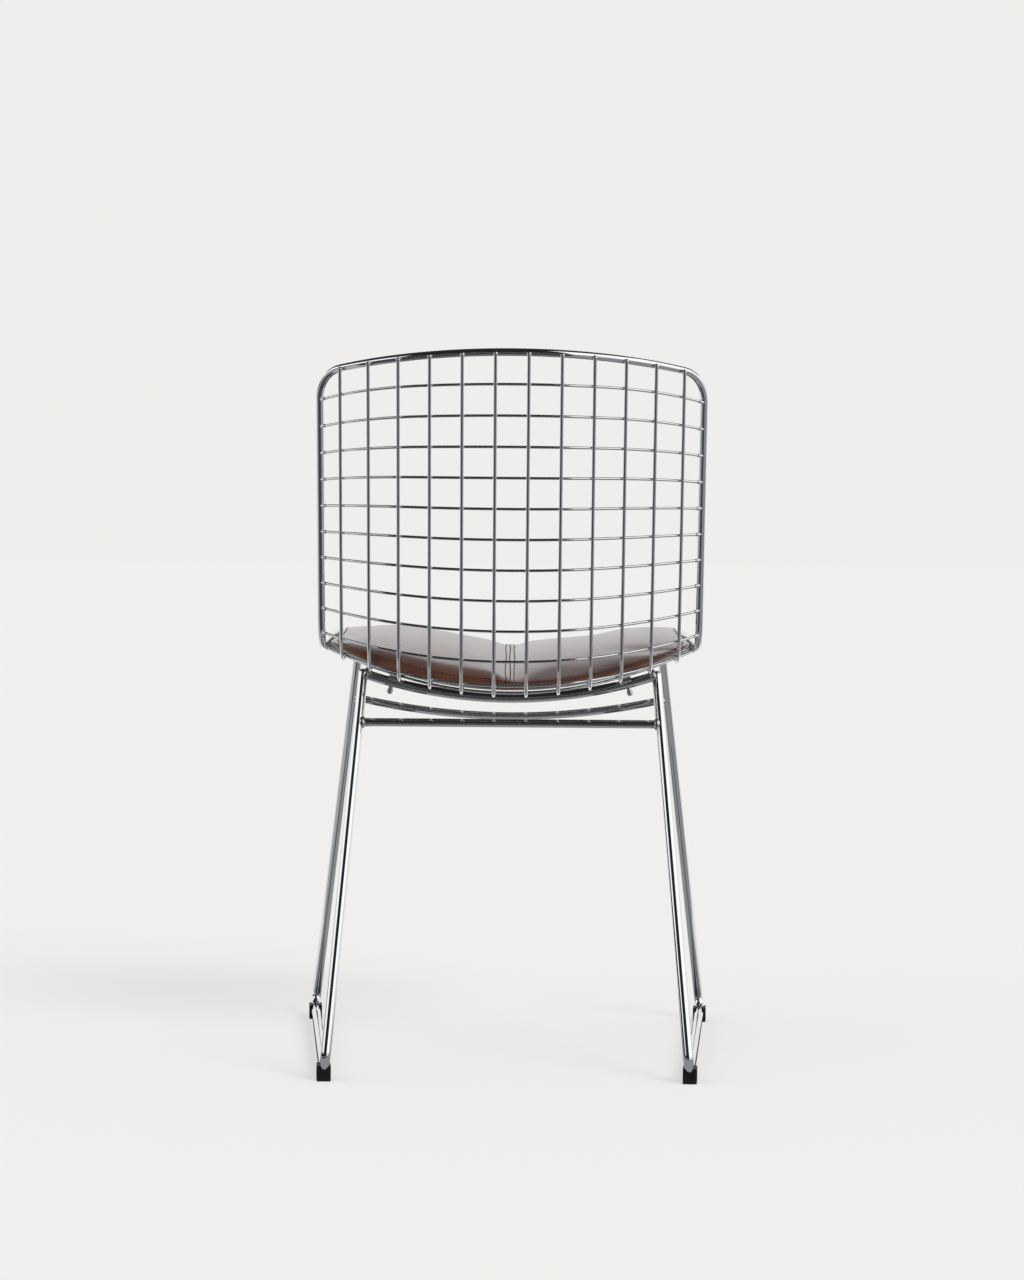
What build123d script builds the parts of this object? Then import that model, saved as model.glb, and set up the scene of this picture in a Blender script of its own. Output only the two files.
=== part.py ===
import os
from math import asin, atan, atan2, cos, degrees, radians, sin, sqrt, tan

from build123d import *

os.makedirs("parts", exist_ok=True)

# Driving dimensions, in millimetres and degrees. The chair faces -Y, and +X is the sitter's left.

# Rods and wires
rim_rod_d = 8.5
long_wire_d = 4.0
cross_wire_d = 3.0
leg_rod_d = 11.0
support_rod_d = 11.0
stretcher_d = 9.5
weld_sink = 0.25  # how far a wire sinks into the wire or rod that it is welded to

# Shell, measured at the middle of its rim rod
rim_half_width = 211.0
top_height = 795.0
top_y = 287.5
back_lean = 14.0
back_bow = 72.0  # the sides of the back stand this far in front of its middle
top_corner_drop = 20.0
top_corner_radius = 39.0
bend_radius_middle = 48.0
bend_radius_rim = 35.0
front_middle_y = -225.5
front_corner_setback = 10.0
front_corner_radius = 45.0

# Seat of the shell, measured across two lines, one to the rear and one to the front
rear_line_y = 106.5
front_line_y = -148.5
seat_height_rear = 429.0
seat_rise = 19.0  # the front line above the rear line
dish_rear = 45.0
dish_front = 31.0

# Wire mesh
long_wire_count = 12
long_wire_pitch = 35.4
long_wire_lap = -0.5  # the wire's end, past the middle of the rim rod
cross_wire_count = 22
first_cross_drop = 30.0  # first cross wire at the rim, below the rim's top corner
last_cross_gap = 26.0  # last cross wire at the rim, behind the front corner
cross_side_ease = 0.056  # cross wires stand wider apart along the sides of the back than of the seat

# Legs: one bent rod a side, with its sled along the floor
sled_height = 12.0
leg_bend_radius = 15.0
rear_leg_top_x = 165.0
rear_leg_foot_x = 199.5
rear_leg_foot_y = 249.5
front_leg_top_x = 181.0
front_leg_foot_x = 238.6
front_leg_foot_y = -295.0
leg_over_rod = 5.0  # the leg's end, past the support rod that it is welded to
leg_end_round = 4.0
cope_gap = 3.0  # a cross rod stops this far short of the leg's middle before it is coped

# Stretchers between the legs, measured below the middles of the support rods
rear_stretcher_drop = 27.5
front_stretcher_drop = 33.0
front_stretcher_sag = 21.0

# Feet
foot_width = 15.5
foot_length = 30.0
foot_height = 17.0
foot_round = 2.5
foot_top_round = 0.8

# Clips that hold the shell to the support rods, each in the gap behind a numbered cross wire
rear_clip_row = 13
front_clip_row = 21
clip_wire = 4  # counted out from the middle
clip_thickness = 2.0
clip_width = 13.0
clip_hook_length = 5.0
clip_screw_gap = 7.5  # screw to the wire that the clip holds
clip_base_length = 5.0  # base past the screw
clip_saddle = 1.0
clip_clearance = 0.3
screw_d = 4.0
screw_hole_clearance = 0.2
screw_collar_d = 5.6
screw_collar_length = 2.4
screw_head_d = 7.6

# Seat pad
pad_thickness = 30.0
pad_clearance = 0.6
pad_side_gap = 9.0
pad_rear_gap = 25.0  # the pad's rear end, in front of the corner of the shell's bend
pad_front_gap = 10.0
pad_corner_radius = 46.0
pad_edge_width = 80.0  # the sides draw in over this width
pad_side_share = 0.34  # thickness left at the outermost section
pad_seam_depth = 7.0
pad_seam_width = 26.0
pad_cover_thickness = 1.6
pad_bulge_share = 0.42  # height of the fullest part of the ends, in thicknesses
pad_shoulder_share = 0.84  # height of the top's ends, in thicknesses
pad_bottom_set = 0.6  # the flat bottom stops short of the ends, in thicknesses
pad_shoulder_set = 0.7  # the top's ends, short of the pad's ends, in thicknesses
pad_edge_sections = (0, 0.07, 0.2, 0.5, 1)  # shares of the edge width, in from the side
pad_seam_sections = (1.4, 0.6, 0.25, 0)  # shares of the seam width, out from the middle

# Values worked out from the driving dimensions
lean = radians(back_lean)
up_back = Vector(0, sin(lean), cos(lean))
into_back = Vector(0, -cos(lean), sin(lean))
top_middle = Vector(0, top_y, top_height)
front_corner_y = front_middle_y + front_corner_setback
long_out = rim_rod_d / 2 + long_wire_d / 2 - weld_sink
cross_out = long_out - long_wire_d / 2 - cross_wire_d / 2 + weld_sink
support_out = long_out + long_wire_d / 2 + support_rod_d / 2 - weld_sink


def bow_radius(rise):
    return (rim_half_width**2 + rise**2) / (2 * rise)


def bow_rise(radius, outward, x):
    return radius - sqrt((radius + outward) ** 2 - x**2)


def between(start, end, share):
    return start + (end - start) * share


back_radius = bow_radius(back_bow)
rear_dish_radius = bow_radius(dish_rear)
front_dish_radius = bow_radius(dish_front)


# Points of the shell. Outward is the distance to the rear of, or below, the rim's surface.
def back_point(x, outward, along):
    return top_middle + Vector(x, 0, 0) + into_back * bow_rise(back_radius, outward, x) + up_back * along


def seat_share(y):
    return (rear_line_y - y) / (rear_line_y - front_line_y)


def seat_point(x, outward, y):
    rear = seat_height_rear + bow_rise(rear_dish_radius, outward, x)
    front = seat_height_rear + seat_rise + bow_rise(front_dish_radius, outward, x)
    return Vector(x, y, between(rear, front, seat_share(y)))


def seat_slope(x, outward):
    rear = seat_point(x, outward, rear_line_y)
    front = seat_point(x, outward, front_line_y)
    return (front.Z - rear.Z) / (rear.Y - front.Y)


def bend_corner(x, outward):
    start = back_point(x, outward, 0)
    slope = seat_slope(x, outward)
    y = start.Y + (seat_point(x, outward, 0).Z - start.Z) * tan(lean)
    return seat_point(x, outward, y / (1 + slope * tan(lean)))


def bend_radius(x, outward):
    return between(bend_radius_middle, bend_radius_rim, bow_rise(back_radius, 0, x) / back_bow) + outward


def shell_run(x, outward, along, front_y):
    return FilletPolyline(
        back_point(x, outward, along),
        bend_corner(x, outward),
        seat_point(x, outward, front_y),
        radius=bend_radius(x, outward),
    )


# An arch over a middle point leaves each corner along a straight lead, and this is the lead's end
def arch_lead(middle, corner, lead):
    rise = middle - Vector(0, corner.Y, corner.Z)
    turn = 2 * atan(rise.length / (rim_half_width + lead))
    return corner - Vector(1, 0, 0) * lead * cos(turn) + rise.normalized() * lead * sin(turn)


# Rim: one closed rod round the back, the sides and the seat
top_corner = back_point(rim_half_width, 0, 0)
top_corner += up_back * ((top_height - top_corner_drop - top_corner.Z) / up_back.Z)
front_middle = seat_point(0, 0, front_middle_y)
front_corner = seat_point(rim_half_width, 0, front_corner_y)
top_lead = arch_lead(top_middle, top_corner, top_corner_radius)
front_lead = arch_lead(front_middle, front_corner, front_corner_radius)

with BuildPart() as shell_rim:
    with BuildLine() as rim_half:
        TangentArc(top_middle, top_lead, tangent=(1, 0, 0))
        FilletPolyline(
            top_lead,
            top_corner,
            bend_corner(rim_half_width, 0),
            front_corner,
            front_lead,
            radius=[top_corner_radius, bend_radius_rim, front_corner_radius],
        )
        TangentArc(front_middle, front_lead, tangent=(1, 0, 0))
    with BuildSketch(Plane(origin=top_middle, z_dir=(1, 0, 0))):
        Circle(rim_rod_d / 2)
    sweep(path=rim_half.wire())
    mirror(about=Plane.YZ)
shell_rim.part.label = "shell_rim"
export_step(shell_rim.part, "parts/shell_rim.step")

rim_line = rim_half.wire()
rim_side_top = 0.3
rim_side_front = 0.7
halvings = 40


# Where the top or the front of the rim passes a given distance from the middle
def rim_point(x, middle_end, side_end):
    near, far = middle_end, side_end
    for _ in range(halvings):
        guess = (near + far) / 2
        if (rim_line @ guess).X < x:
            near = guess
        else:
            far = guess
    return rim_line @ near


# Long wires: down the back, round the bend and forward under the seat, lapped on the rim's outside
def long_wire_x(number):
    along_bow = (abs(number) - 0.5) * long_wire_pitch
    x = (back_radius + long_out) * sin(along_bow / back_radius)
    return x if number > 0 else -x


def long_wire_run(number):
    x = long_wire_x(number)
    rim_x = abs(x) * back_radius / (back_radius + long_out)
    top = rim_point(rim_x, 0, rim_side_top)
    front = rim_point(rim_x, 1, rim_side_front)
    along = (top - top_middle).dot(up_back)
    return shell_run(x, long_out, along + long_wire_lap, front.Y - long_wire_lap)


half_count = long_wire_count // 2
wire_numbers = [*range(-half_count, 0), *range(1, half_count + 1)]
for order, number in enumerate(wire_numbers, start=1):
    with BuildPart() as long_wire:
        with BuildLine() as run:
            long_wire_run(number)
        with BuildSketch(Plane(origin=run.line @ 0, z_dir=run.line % 0)):
            Circle(long_wire_d / 2)
        sweep()
    long_wire.part.label = f"longitudinal_wire_{order:02d}"
    export_step(long_wire.part, f"parts/longitudinal_wire_{order:02d}.step")


# Cross wires: evenly spaced along the middle of the shell and along its rim, on the long wires' inside
cross_side_start = (top_corner - back_point(rim_half_width, 0, 0)).dot(up_back) - first_cross_drop
cross_side_front = front_corner_y + last_cross_gap


def cross_wire_point(number, x):
    share = bow_rise(back_radius, 0, x) / back_bow
    start = cross_side_start * share
    front = between(front_middle_y, cross_side_front, share)
    middle_place = number / (cross_wire_count + 1)
    side_place = (number - 1) / (cross_wire_count - 1)
    side_place += cross_side_ease * side_place * (1 - side_place)
    return shell_run(x, cross_out, start, front) @ between(middle_place, side_place, share)


# The wire's end lies where its middle line reaches the rim's skin
def cross_wire_end(number):
    inside = rim_half_width - 2 * rim_rod_d
    outside = rim_half_width
    for _ in range(halvings // 2):
        guess = (inside + outside) / 2
        if rim_line.distance_to(cross_wire_point(number, guess)) > rim_rod_d / 2 + weld_sink:
            inside = guess
        else:
            outside = guess
    return cross_wire_point(number, inside)


for number in range(1, cross_wire_count + 1):
    middle = cross_wire_point(number, 0)
    quarter = cross_wire_point(number, rim_half_width / 2)
    end = cross_wire_end(number)
    with BuildPart() as cross_wire:
        with BuildLine() as run:
            inner = TangentArc(middle, quarter, tangent=(1, 0, 0))
            TangentArc(quarter, end, tangent=inner % 1)
            mirror(about=Plane.YZ)
        with BuildSketch(Plane(origin=end, z_dir=run.wire().tangent_at(end))):
            Circle(cross_wire_d / 2)
        sweep(path=run.wire())
    cross_wire.part.label = f"transverse_wire_{number:02d}"
    export_step(cross_wire.part, f"parts/transverse_wire_{number:02d}.step")


# Support rods pass under the shell in the gaps where the clips sit
def row_gap_y(row):
    x = long_wire_x(clip_wire)
    return (cross_wire_point(row - 1, x).Y + cross_wire_point(row, x).Y) / 2


def support_radius(y):
    return bow_radius(between(dish_rear, dish_front, seat_share(y))) + support_out


def support_point(y, x):
    return seat_point(0, support_out, y) + Vector(x, 0, bow_rise(support_radius(y), 0, x))


def support_rod_arc(y, half_length):
    return ThreePointArc(support_point(y, half_length), support_point(y, 0), support_point(y, -half_length))


rear_support_y = row_gap_y(rear_clip_row)
front_support_y = row_gap_y(front_clip_row)


# Side frames: rear leg, sled and front leg in one bent rod
def leg_end(rod, foot):
    return rod + (rod - foot).normalized() * leg_over_rod


def leg_point(top, foot, height):
    return between(top, foot, (top.Z - height) / (top.Z - foot.Z))


rear_leg_rod = support_point(rear_support_y, rear_leg_top_x)
front_leg_rod = support_point(front_support_y, front_leg_top_x)
rear_leg_foot = Vector(rear_leg_foot_x, rear_leg_foot_y, sled_height)
front_leg_foot = Vector(front_leg_foot_x, front_leg_foot_y, sled_height)
rear_leg_top = leg_end(rear_leg_rod, rear_leg_foot)
front_leg_top = leg_end(front_leg_rod, front_leg_foot)

with BuildPart() as left_side_frame:
    with BuildLine() as run:
        FilletPolyline(rear_leg_top, rear_leg_foot, front_leg_foot, front_leg_top, radius=leg_bend_radius)
    with BuildSketch(Plane(origin=run.line @ 0, z_dir=run.line % 0)):
        Circle(leg_rod_d / 2)
    sweep()
    leg_ends = left_side_frame.faces().filter_by(GeomType.PLANE).edges()
    fillet(leg_ends, leg_end_round)
left_side_frame.part.label = "left_side_frame"
export_step(left_side_frame.part, "parts/left_side_frame.step")

with BuildPart() as right_side_frame:
    add(mirror(left_side_frame.part, about=Plane.YZ, mode=Mode.PRIVATE))
right_side_frame.part.label = "right_side_frame"
export_step(right_side_frame.part, "parts/right_side_frame.step")


# A plane on the support rod beside the held wire: x runs outward along the rod, z points up
def clip_plane(y, side):
    wire_x = long_wire_x(clip_wire)
    radius = support_radius(y)
    screw_angle = asin(wire_x / (radius - support_out + long_out)) + clip_screw_gap / radius
    outward = Vector(side * cos(screw_angle), 0, sin(screw_angle))
    wire_tilt = atan(seat_slope(wire_x, long_out))
    along_wire = Vector(0, cos(wire_tilt), -sin(wire_tilt))
    origin = support_point(y, side * radius * sin(screw_angle))
    return Plane(origin=origin, x_dir=outward, z_dir=outward.cross(along_wire) * side)


# Support rods: curved with the seat, coped to the legs and drilled for the clips' screws
for name, rod in (("rear_support_rod", rear_leg_rod), ("front_support_rod", front_leg_rod)):
    with BuildPart() as support_rod:
        with BuildLine() as run:
            support_rod_arc(rod.Y, rod.X - cope_gap)
        with BuildSketch(Plane(origin=run.line @ 0, z_dir=run.line % 0)):
            Circle(support_rod_d / 2)
        sweep()
        add(left_side_frame.part, mode=Mode.SUBTRACT)
        add(right_side_frame.part, mode=Mode.SUBTRACT)
        for side in (1, -1):
            with BuildSketch(clip_plane(rod.Y, side)):
                Circle(screw_d / 2 + screw_hole_clearance)
            extrude(amount=support_rod_d, both=True, mode=Mode.SUBTRACT)
    support_rod.part.label = name
    export_step(support_rod.part, f"parts/{name}.step")

# Straight stretcher between the rear legs
rear_stretcher_height = support_point(rear_support_y, 0).Z - rear_stretcher_drop
rear_joint = leg_point(rear_leg_top, rear_leg_foot, rear_stretcher_height)
with BuildPart() as rear_stretcher:
    with BuildSketch(Plane(origin=(0, rear_joint.Y, rear_joint.Z), z_dir=(1, 0, 0))):
        Circle(stretcher_d / 2)
    extrude(amount=rear_joint.X - cope_gap, both=True)
    add(left_side_frame.part, mode=Mode.SUBTRACT)
    add(right_side_frame.part, mode=Mode.SUBTRACT)
rear_stretcher.part.label = "rear_stretcher"
export_step(rear_stretcher.part, "parts/rear_stretcher.step")

# Bowed stretcher between the front legs
front_stretcher_height = support_point(front_support_y, 0).Z - front_stretcher_drop
front_end = leg_point(front_leg_top, front_leg_foot, front_stretcher_height) - Vector(cope_gap, 0, 0)
with BuildPart() as front_stretcher:
    with BuildLine() as run:
        lowest = (0, front_end.Y, front_end.Z - front_stretcher_sag)
        ThreePointArc(front_end, lowest, (-front_end.X, front_end.Y, front_end.Z))
    with BuildSketch(Plane(origin=run.line @ 0, z_dir=run.line % 0)):
        Circle(stretcher_d / 2)
    sweep()
    add(left_side_frame.part, mode=Mode.SUBTRACT)
    add(right_side_frame.part, mode=Mode.SUBTRACT)
front_stretcher.part.label = "front_stretcher"
export_step(front_stretcher.part, "parts/front_stretcher.step")


# Feet: blocks clipped under the sled rod where it turns up into the legs
def bend_start(corner, other, top):
    away = other - corner
    half_turn = radians((180 - away.get_angle(top - corner)) / 2)
    return corner + away.normalized() * leg_bend_radius * tan(half_turn)


foot_turn = degrees(atan2(front_leg_foot_x - rear_leg_foot_x, rear_leg_foot_y - front_leg_foot_y))
rear_foot_spot = bend_start(rear_leg_foot, front_leg_foot, rear_leg_top)
front_foot_spot = bend_start(front_leg_foot, rear_leg_foot, front_leg_top)
for end_name, spot in (("rear", rear_foot_spot), ("front", front_foot_spot)):
    with BuildPart() as left_foot:
        with BuildSketch(Plane(origin=(spot.X, spot.Y, 0)).rotated((0, 0, foot_turn))):
            Rectangle(foot_width, foot_length)
        extrude(amount=foot_height)
        fillet(left_foot.edges().filter_by(Axis.Z), foot_round)
        fillet(left_foot.faces().sort_by(Axis.Z)[-1].edges(), foot_top_round)
        add(left_side_frame.part, mode=Mode.SUBTRACT)
    left_foot.part.label = f"left_{end_name}_foot"
    export_step(left_foot.part, f"parts/left_{end_name}_foot.step")
    with BuildPart() as right_foot:
        add(mirror(left_foot.part, about=Plane.YZ, mode=Mode.PRIVATE))
    right_foot.part.label = f"right_{end_name}_foot"
    export_step(right_foot.part, f"parts/right_{end_name}_foot.step")

# Clip plates: a saddle base on the rod, a riser and a hook over the wire
base_bottom = support_rod_d / 2 - clip_saddle
base_top = support_rod_d / 2 + clip_thickness
hook_bottom = support_rod_d / 2 + long_wire_d - weld_sink + clip_clearance
hook_top = hook_bottom + clip_thickness
riser_inside = long_wire_d / 2 + clip_clearance - clip_screw_gap
riser_outside = riser_inside + clip_thickness
hook_end = -clip_screw_gap - clip_hook_length
for end_name, y in (("rear", rear_support_y), ("front", front_support_y)):
    for side_name, side in (("left", 1), ("right", -1)):
        seat = clip_plane(y, side)
        with BuildPart() as clip:
            with BuildSketch(Plane(origin=seat.origin, x_dir=seat.x_dir, z_dir=seat.x_dir.cross(seat.z_dir))):
                Polygon(
                    (riser_inside, base_bottom),
                    (clip_base_length, base_bottom),
                    (clip_base_length, base_top),
                    (riser_outside, base_top),
                    (riser_outside, hook_top),
                    (hook_end, hook_top),
                    (hook_end, hook_bottom),
                    (riser_inside, hook_bottom),
                    align=None,
                )
            extrude(amount=clip_width / 2, both=True)
            with BuildSketch(seat):
                Circle(screw_d / 2 + screw_hole_clearance)
            extrude(amount=hook_top, mode=Mode.SUBTRACT)
            with BuildLine() as run:
                support_rod_arc(y, rear_leg_top_x)
            with BuildSketch(Plane(origin=run.line @ 0, z_dir=run.line % 0)):
                Circle(support_rod_d / 2)
            sweep(path=run.line, mode=Mode.SUBTRACT)
        clip.part.label = f"{side_name}_{end_name}_shell_clip"
        export_step(clip.part, f"parts/{side_name}_{end_name}_shell_clip.step")

# Screws: a ball head and a collar below the rod, and a shank up into the clip
collar_bottom = -support_rod_d / 2 - screw_collar_length
shank_top = support_rod_d / 2 + clip_thickness
ball_middle = collar_bottom - sqrt(screw_head_d**2 - screw_collar_d**2) / 2
with BuildPart() as screw:
    with BuildSketch(Plane.XY.offset(collar_bottom)):
        Circle(screw_d / 2)
    extrude(amount=shank_top - collar_bottom)
    with BuildSketch(Plane.XY.offset(collar_bottom)):
        Circle(screw_collar_d / 2)
    extrude(amount=screw_collar_length)
    with Locations((0, 0, ball_middle)):
        Sphere(screw_head_d / 2)

clip_spots = [(y, side) for y in (rear_support_y, front_support_y) for side in (1, -1)]
with BuildPart() as clip_screws:
    with Locations(*[clip_plane(y, side) for y, side in clip_spots]):
        add(screw.part)
clip_screws.part.label = "clip_screws"
export_step(clip_screws.part, "parts/clip_screws.step")


# Seat pad: two crowned halves that follow the dish, with a sewn channel between them
def pad_end_draw(x, half_width):
    past = max(0, abs(x) - half_width + pad_corner_radius)
    return pad_corner_radius - sqrt(max(0, pad_corner_radius**2 - past**2))


def pad_height(x, half_width, thickness):
    past = max(0, abs(x) - half_width + pad_edge_width) / pad_edge_width
    drawn = between(1, pad_side_share, past**2)
    seam = pad_seam_depth / (1 + (2 * abs(x) / pad_seam_width) ** 4)
    return thickness * drawn - seam


def pad_section(x, inset):
    half_width = rim_half_width - pad_side_gap - inset
    height = pad_height(x, half_width, pad_thickness - 2 * inset)
    draw = pad_end_draw(x, half_width)
    rear = bend_corner(x, 0).Y - pad_rear_gap - inset - draw
    front = front_middle_y + pad_front_gap + inset + draw
    lift = -cross_out + cross_wire_d / 2 + pad_clearance + inset
    points = []
    for y, share in (
        (front + height * pad_bottom_set, 0),
        (rear - height * pad_bottom_set, 0),
        (rear, pad_bulge_share),
        (rear - height * pad_shoulder_set, pad_shoulder_share),
        ((rear + front) / 2, 1),
        (front + height * pad_shoulder_set, pad_shoulder_share),
        (front, pad_bulge_share),
    ):
        points.append(seat_point(x, -lift, y) + Vector(0, 0, height * share))
    return points


def pad_sections(inset):
    half_width = rim_half_width - pad_side_gap - inset
    spots = [half_width - share * pad_edge_width for share in pad_edge_sections]
    spots += [share * pad_seam_width for share in pad_seam_sections]
    sections = []
    for x in spots + [-spot for spot in reversed(spots[:-1])]:
        flat = [(point.Y, point.Z) for point in pad_section(x, inset)]
        with BuildSketch(Plane(origin=(x, 0, 0), x_dir=(0, 1, 0), z_dir=(1, 0, 0))) as section:
            with BuildLine():
                Line(flat[0], flat[1])
                ThreePointArc(flat[1], flat[2], flat[3])
                ThreePointArc(flat[3], flat[4], flat[5])
                ThreePointArc(flat[5], flat[6], flat[0])
            make_face()
        sections.append(section.sketch)
    return sections


with BuildPart() as pad_foam:
    loft(pad_sections(pad_cover_thickness))
pad_foam.part.label = "seat_pad_foam"
export_step(pad_foam.part, "parts/seat_pad_foam.step")

with BuildPart() as pad_cover:
    loft(pad_sections(0))
    add(pad_foam.part, mode=Mode.SUBTRACT)
pad_cover.part.label = "seat_pad_cover"
export_step(pad_cover.part, "parts/seat_pad_cover.step")
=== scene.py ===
import math

import bpy
from mathutils import Matrix, Vector
from mathutils.bvhtree import BVHTree


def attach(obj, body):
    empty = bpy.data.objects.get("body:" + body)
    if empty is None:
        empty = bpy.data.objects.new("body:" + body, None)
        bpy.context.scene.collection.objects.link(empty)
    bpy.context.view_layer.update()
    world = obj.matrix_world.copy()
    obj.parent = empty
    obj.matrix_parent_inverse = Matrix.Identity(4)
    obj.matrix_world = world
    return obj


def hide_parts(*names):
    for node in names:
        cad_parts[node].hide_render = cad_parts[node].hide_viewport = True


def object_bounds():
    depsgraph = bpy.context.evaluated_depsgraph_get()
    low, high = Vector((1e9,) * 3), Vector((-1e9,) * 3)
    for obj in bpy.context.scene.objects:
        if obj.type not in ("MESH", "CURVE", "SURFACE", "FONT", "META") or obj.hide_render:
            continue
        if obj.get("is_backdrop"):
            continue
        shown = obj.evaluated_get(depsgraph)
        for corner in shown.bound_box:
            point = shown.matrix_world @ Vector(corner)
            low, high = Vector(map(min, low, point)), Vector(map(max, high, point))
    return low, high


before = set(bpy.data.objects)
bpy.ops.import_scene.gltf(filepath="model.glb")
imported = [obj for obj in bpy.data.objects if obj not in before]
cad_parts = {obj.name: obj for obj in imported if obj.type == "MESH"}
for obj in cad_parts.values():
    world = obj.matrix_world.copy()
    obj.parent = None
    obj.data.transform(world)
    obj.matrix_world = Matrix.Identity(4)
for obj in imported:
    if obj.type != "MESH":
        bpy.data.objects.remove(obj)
cadLow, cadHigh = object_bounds()
print("frame loaded:", len(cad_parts), "pieces")

# All lengths are in metres. The chair faces -Y, and +X is the sitter's left.

# The wire shell, as the CAD part has it
shell = {
    "halfWidth": 0.211,
    "topY": 0.2875,
    "topHeight": 0.795,
    "lean": math.radians(14),
    "bow": 0.072,
    "topCornerDrop": 0.020,
    "bendMiddle": 0.048,
    "bendRim": 0.035,
    "frontY": -0.2255,
    "frontCornerY": -0.2155,
    "rearLineY": 0.1065,
    "frontLineY": -0.1485,
    "rearHeight": 0.429,
    "rise": 0.019,
    "rearDish": 0.045,
    "frontDish": 0.031,
}
wires = {
    "longCount": 12,
    "longPitch": 0.0354,
    "longOut": 0.006,
    "crossCount": 22,
    "crossOut": 0.00275,
    "crossRadius": 0.0015,
    "firstDrop": 0.030,
    "lastGap": 0.026,
    "sideEase": 0.056,
}


def bowRadius(rise):
    return (shell["halfWidth"] ** 2 + rise**2) / (2 * rise)


def bowRise(radius, outward, x):
    return radius - math.sqrt((radius + outward) ** 2 - x**2)


def between(start, end, share):
    return start + (end - start) * share


backRadius = bowRadius(shell["bow"])
upBack = Vector((0, math.sin(shell["lean"]), math.cos(shell["lean"])))
intoBack = Vector((0, -math.cos(shell["lean"]), math.sin(shell["lean"])))


def backPoint(x, outward, along):
    top = Vector((x, shell["topY"], shell["topHeight"]))
    return top + intoBack * bowRise(backRadius, outward, x) + upBack * along


def seatPoint(x, outward, y):
    rear = shell["rearHeight"] + bowRise(bowRadius(shell["rearDish"]), outward, x)
    front = shell["rearHeight"] + shell["rise"] + bowRise(bowRadius(shell["frontDish"]), outward, x)
    share = (shell["rearLineY"] - y) / (shell["rearLineY"] - shell["frontLineY"])
    return Vector((x, y, between(rear, front, share)))


def bendCorner(x, outward):
    start = backPoint(x, outward, 0)
    level = seatPoint(x, outward, 0).z
    slope = level - seatPoint(x, outward, 1).z
    y = start.y + (level - start.z) * math.tan(shell["lean"])
    return seatPoint(x, outward, y / (1 + slope * math.tan(shell["lean"])))


def towardsRim(x):
    # 0 at the middle of the shell, 1 at its side
    return bowRise(backRadius, 0, x) / shell["bow"]


# A point of the run down the back, round the bend and along the seat, and the way out of the shell there
def runPoint(x, outward, along, frontY, share):
    start = backPoint(x, outward, along)
    corner = bendCorner(x, outward)
    end = seatPoint(x, outward, frontY)
    radius = between(shell["bendMiddle"], shell["bendRim"], towardsRim(x)) + outward
    toStart = (start - corner).normalized()
    toEnd = (end - corner).normalized()
    angle = toStart.angle(toEnd)
    lead = radius / math.tan(angle / 2)
    firstRun = (start - corner).length - lead
    arcRun = radius * (math.pi - angle)
    lastRun = (end - corner).length - lead
    place = share * (firstRun + arcRun + lastRun)
    if place < firstRun:
        return start - toStart * place, -intoBack
    if place < firstRun + arcRun:
        middle = corner + (toStart + toEnd).normalized() * radius / math.sin(angle / 2)
        turn = (place - firstRun) / radius
        spoke = Matrix.Rotation(-turn, 3, "X") @ (corner + toStart * lead - middle)
        return middle + spoke, spoke.normalized()
    return corner + toEnd * (lead + place - firstRun - arcRun), Vector((0, toEnd.z, -toEnd.y))


def longWireX(number):
    along = (number - 0.5) * wires["longPitch"]
    return (backRadius + wires["longOut"]) * math.sin(along / backRadius)


def crossWirePoint(number, x):
    share = towardsRim(x)
    topCorner = backPoint(shell["halfWidth"], 0, 0)
    sideTop = (shell["topHeight"] - shell["topCornerDrop"] - topCorner.z) / upBack.z - wires["firstDrop"]
    frontY = between(shell["frontY"], shell["frontCornerY"] + wires["lastGap"], share)
    middlePlace = number / (wires["crossCount"] + 1)
    sidePlace = (number - 1) / (wires["crossCount"] - 1)
    sidePlace += wires["sideEase"] * sidePlace * (1 - sidePlace)
    return runPoint(x, wires["crossOut"], sideTop * share, frontY, between(middlePlace, sidePlace, share))


# Materials


def newMaterial(name):
    material = bpy.data.materials.new(name)
    material.use_nodes = True
    tree = material.node_tree
    return material, tree, tree.nodes["Principled BSDF"]


def noiseNode(tree, scale, detail, vector=None):
    node = tree.nodes.new("ShaderNodeTexNoise")
    node.inputs["Scale"].default_value = scale
    node.inputs["Detail"].default_value = detail
    if vector is None:
        vector = tree.nodes.new("ShaderNodeTexCoord").outputs["Object"]
    tree.links.new(vector, node.inputs["Vector"])
    return node


def rangeNode(tree, value, low, high, fromLow=0.0, fromHigh=1.0):
    node = tree.nodes.new("ShaderNodeMapRange")
    node.inputs["From Min"].default_value = fromLow
    node.inputs["From Max"].default_value = fromHigh
    node.inputs["To Min"].default_value = low
    node.inputs["To Max"].default_value = high
    tree.links.new(value, node.inputs["Value"])
    return node.outputs["Result"]


def colourRamp(tree, value, stops):
    ramp = tree.nodes.new("ShaderNodeValToRGB")
    ramp.color_ramp.elements[0].position = stops[0][0]
    ramp.color_ramp.elements[0].color = (*stops[0][1], 1)
    ramp.color_ramp.elements[1].position = stops[-1][0]
    ramp.color_ramp.elements[1].color = (*stops[-1][1], 1)
    for place, colour in stops[1:-1]:
        ramp.color_ramp.elements.new(place).color = (*colour, 1)
    tree.links.new(value, ramp.inputs["Fac"])
    return ramp.outputs["Color"]


def bumpNode(tree, height, strength, distance, normal=None):
    node = tree.nodes.new("ShaderNodeBump")
    node.inputs["Strength"].default_value = strength
    node.inputs["Distance"].default_value = distance
    tree.links.new(height, node.inputs["Height"])
    if normal is not None:
        tree.links.new(normal, node.inputs["Normal"])
    return node.outputs["Normal"]


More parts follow.
